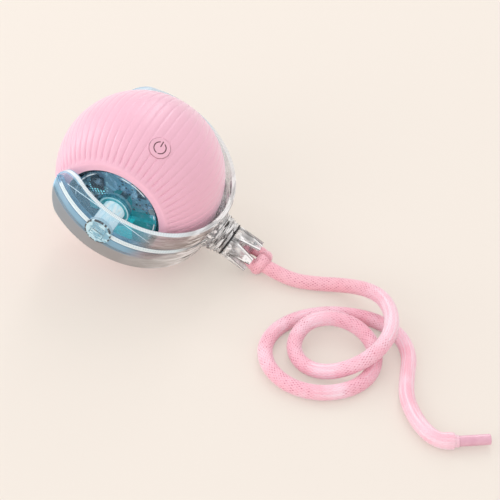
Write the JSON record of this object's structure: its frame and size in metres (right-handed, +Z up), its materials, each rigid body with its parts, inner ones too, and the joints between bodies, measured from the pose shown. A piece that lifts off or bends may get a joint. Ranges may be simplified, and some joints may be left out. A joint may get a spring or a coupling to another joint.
{
  "type": "self-rolling cat ball",
  "caption": "Ribbed silicone ball that rolls itself round an axle held by a clear C-shaped bracket, which drags a braided cord tail from a swivelling cap.",
  "frame": {"origin": "where the ball meets the floor, straight below its centre", "axes": "+Z up; the ball's axle lies along Y with the window seen in the picture at -Y; the neck and the tail leave towards +X"},
  "size_m": [0.1759, 0.0878, 0.06],
  "materials": {
    "pink_silicone": "matt silicone, pale pink",
    "clear_shell": "clear blue-tinted moulded plastic",
    "clear_bracket": "clear colourless moulded plastic",
    "smoke_bracket": "clear plastic with a grey tint",
    "bearing_plastic": "pale blue low-friction plastic",
    "chassis_plastic": "dark blue-grey moulded plastic",
    "gear_plastic": "pale moulded gear plastic",
    "steel": "plain steel",
    "motor_can": "bright plated can",
    "battery_wrap": "teal shrink wrap",
    "board_green": "dark blue board lacquer",
    "chip_black": "black moulded packages",
    "led_clear": "clear lamp bodies",
    "washer_black": "black washer",
    "pink_cord": "pink braid with darker flecks",
    "pink_tip": "glossy pink moulded tip"
  },
  "bodies": {
    "ball": {"silicone_sleeve": "pink_silicone", "front_shell": "clear_shell", "rear_shell": "clear_shell", "front_bush": "bearing_plastic", "rear_bush": "bearing_plastic", "chassis": "chassis_plastic", "gearbox_cover": "chassis_plastic", "gearbox_screws": "steel", "motor": "motor_can", "battery": "battery_wrap", "circuit_board": "board_green", "board_screws": "steel", "board_chips": "chip_black", "board_leds": "led_clear", "charge_socket": "steel", "idler_pin": "steel", "tact_switch": "chip_black", "switch_board": "board_green"},
    "button": {"power_button": "pink_silicone"},
    "bracket": {"axle": "steel", "axle_gear": "gear_plastic", "front_pivot_pin": "clear_bracket", "rear_pivot_pin": "clear_bracket", "bracket_upper": "clear_bracket", "bracket_lower": "smoke_bracket", "neck_nut": "clear_bracket", "neck_seal": "washer_black", "swivel_screw": "steel"},
    "idler": {"idler_gear": "gear_plastic"},
    "pinion": {"motor_pinion": "gear_plastic"},
    "tail": {"swivel_cap": "clear_bracket", "cord_pin": "steel", "cord_knot": "pink_cord", "tail_cord": "pink_cord", "cord_tip": "pink_tip"}
  },
  "joints": [
    {"name": "bracket_turn", "type": "hinge", "parent": "ball", "child": "bracket", "pos_m": [0, 0, 0.03], "axis": [0, 1, 0], "continuous": true},
    {"name": "idler_turn", "type": "hinge", "parent": "ball", "child": "idler", "pos_m": [-0.00953, 0, 0.03739], "axis": [0, 1, 0], "continuous": true},
    {"name": "pinion_turn", "type": "hinge", "parent": "ball", "child": "pinion", "pos_m": [-0.0134, 0, 0.0292], "axis": [0, 1, 0], "continuous": true},
    {"name": "tail_swivel", "type": "hinge", "parent": "bracket", "child": "tail", "pos_m": [0, 0, 0.03], "axis": [0.8788, 0, -0.4772], "continuous": true},
    {"name": "button_press", "type": "slide", "parent": "ball", "child": "button", "axis": [-0.461, 0.36, -0.8111], "range_m": [0, 0.0005], "stiffness_N_per_m": 2000}
  ],
  "couplings": [
    {"joint": "idler_turn", "follows": "bracket_turn", "ratio": -3},
    {"joint": "pinion_turn", "follows": "bracket_turn", "ratio": 6}
  ]
}
